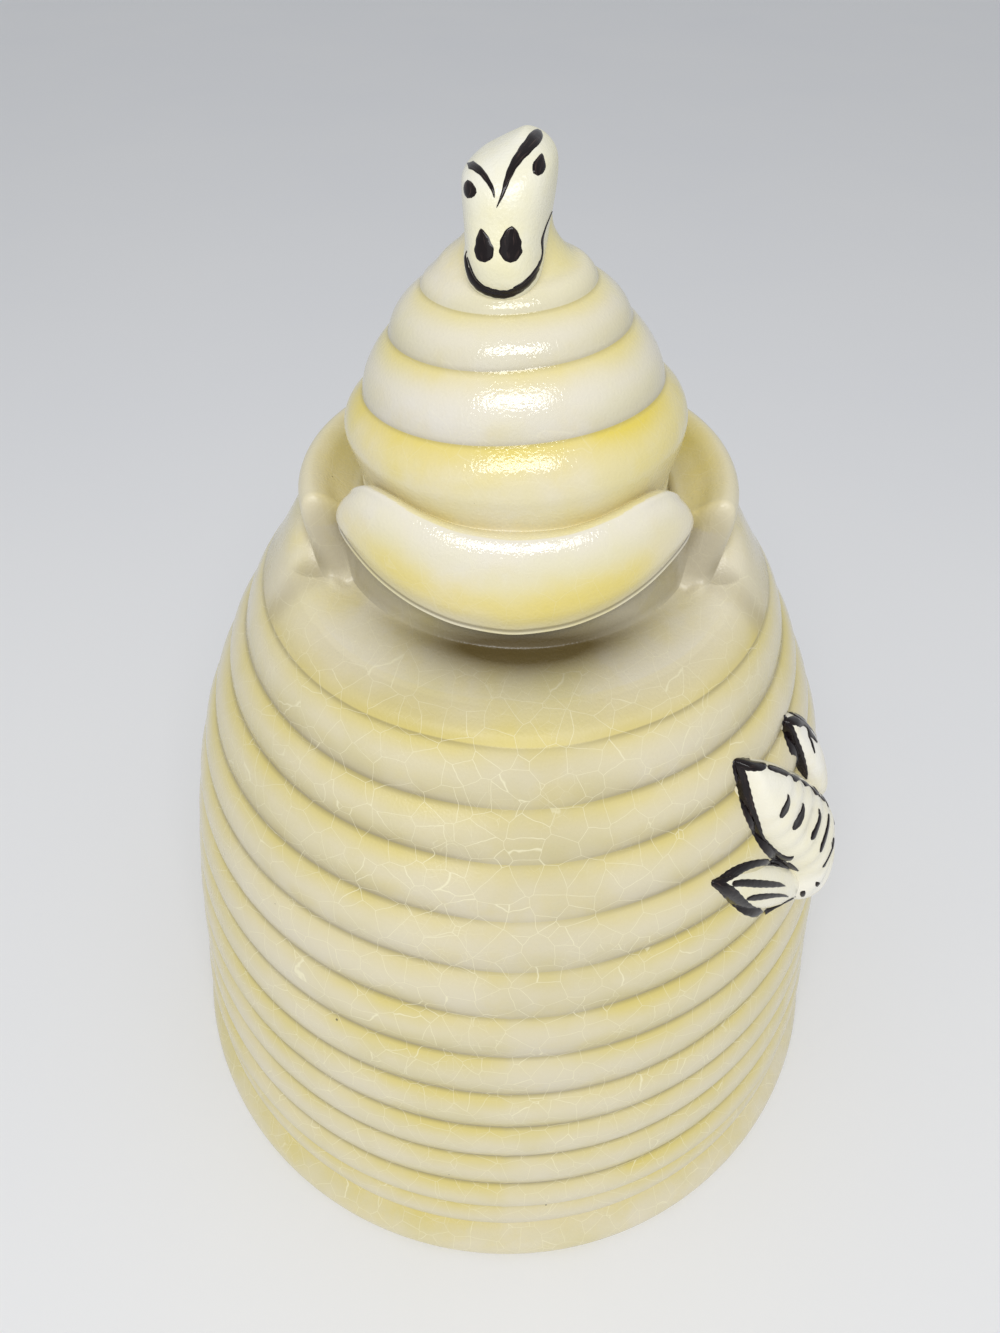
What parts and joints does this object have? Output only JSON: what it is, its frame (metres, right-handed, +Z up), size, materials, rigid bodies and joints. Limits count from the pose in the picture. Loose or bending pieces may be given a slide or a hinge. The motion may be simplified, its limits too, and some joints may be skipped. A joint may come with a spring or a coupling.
{
  "type": "honey pot with lift-off lid",
  "caption": "Beehive-shaped glazed honey pot of stacked coils with a lift-off domed lid, crescent thumb lip, animal-head knob and a bee in relief.",
  "frame": {"origin": "centre of the foot's underside", "axes": "+Z up through the knob, -Y towards the front where the collar is cut away, +X towards the side with the bee"},
  "size_m": [0.14, 0.14, 0.178],
  "materials": {
    "pot_glaze": "glossy pale yellow glaze, pooled darker in the grooves, finely crazed",
    "lid_glaze": "glossy pale yellow glaze, pooled darker in the grooves",
    "head_glaze": "glossy cream glaze with hand-brushed brown-black marks",
    "bee_glaze": "glossy cream glaze with hand-brushed brown-black outlines and stripes"
  },
  "bodies": {
    "pot": {"pot_body": "pot_glaze", "bee_body": "bee_glaze", "bee_wing_upper": "bee_glaze", "bee_wing_lower": "bee_glaze"},
    "lid": {"lid": "lid_glaze", "knob_head": "head_glaze"}
  },
  "joints": [
    {"name": "lid_lift", "type": "slide", "parent": "pot", "child": "lid", "axis": [0, 0, 1], "range_m": [0, 0.06]}
  ]
}
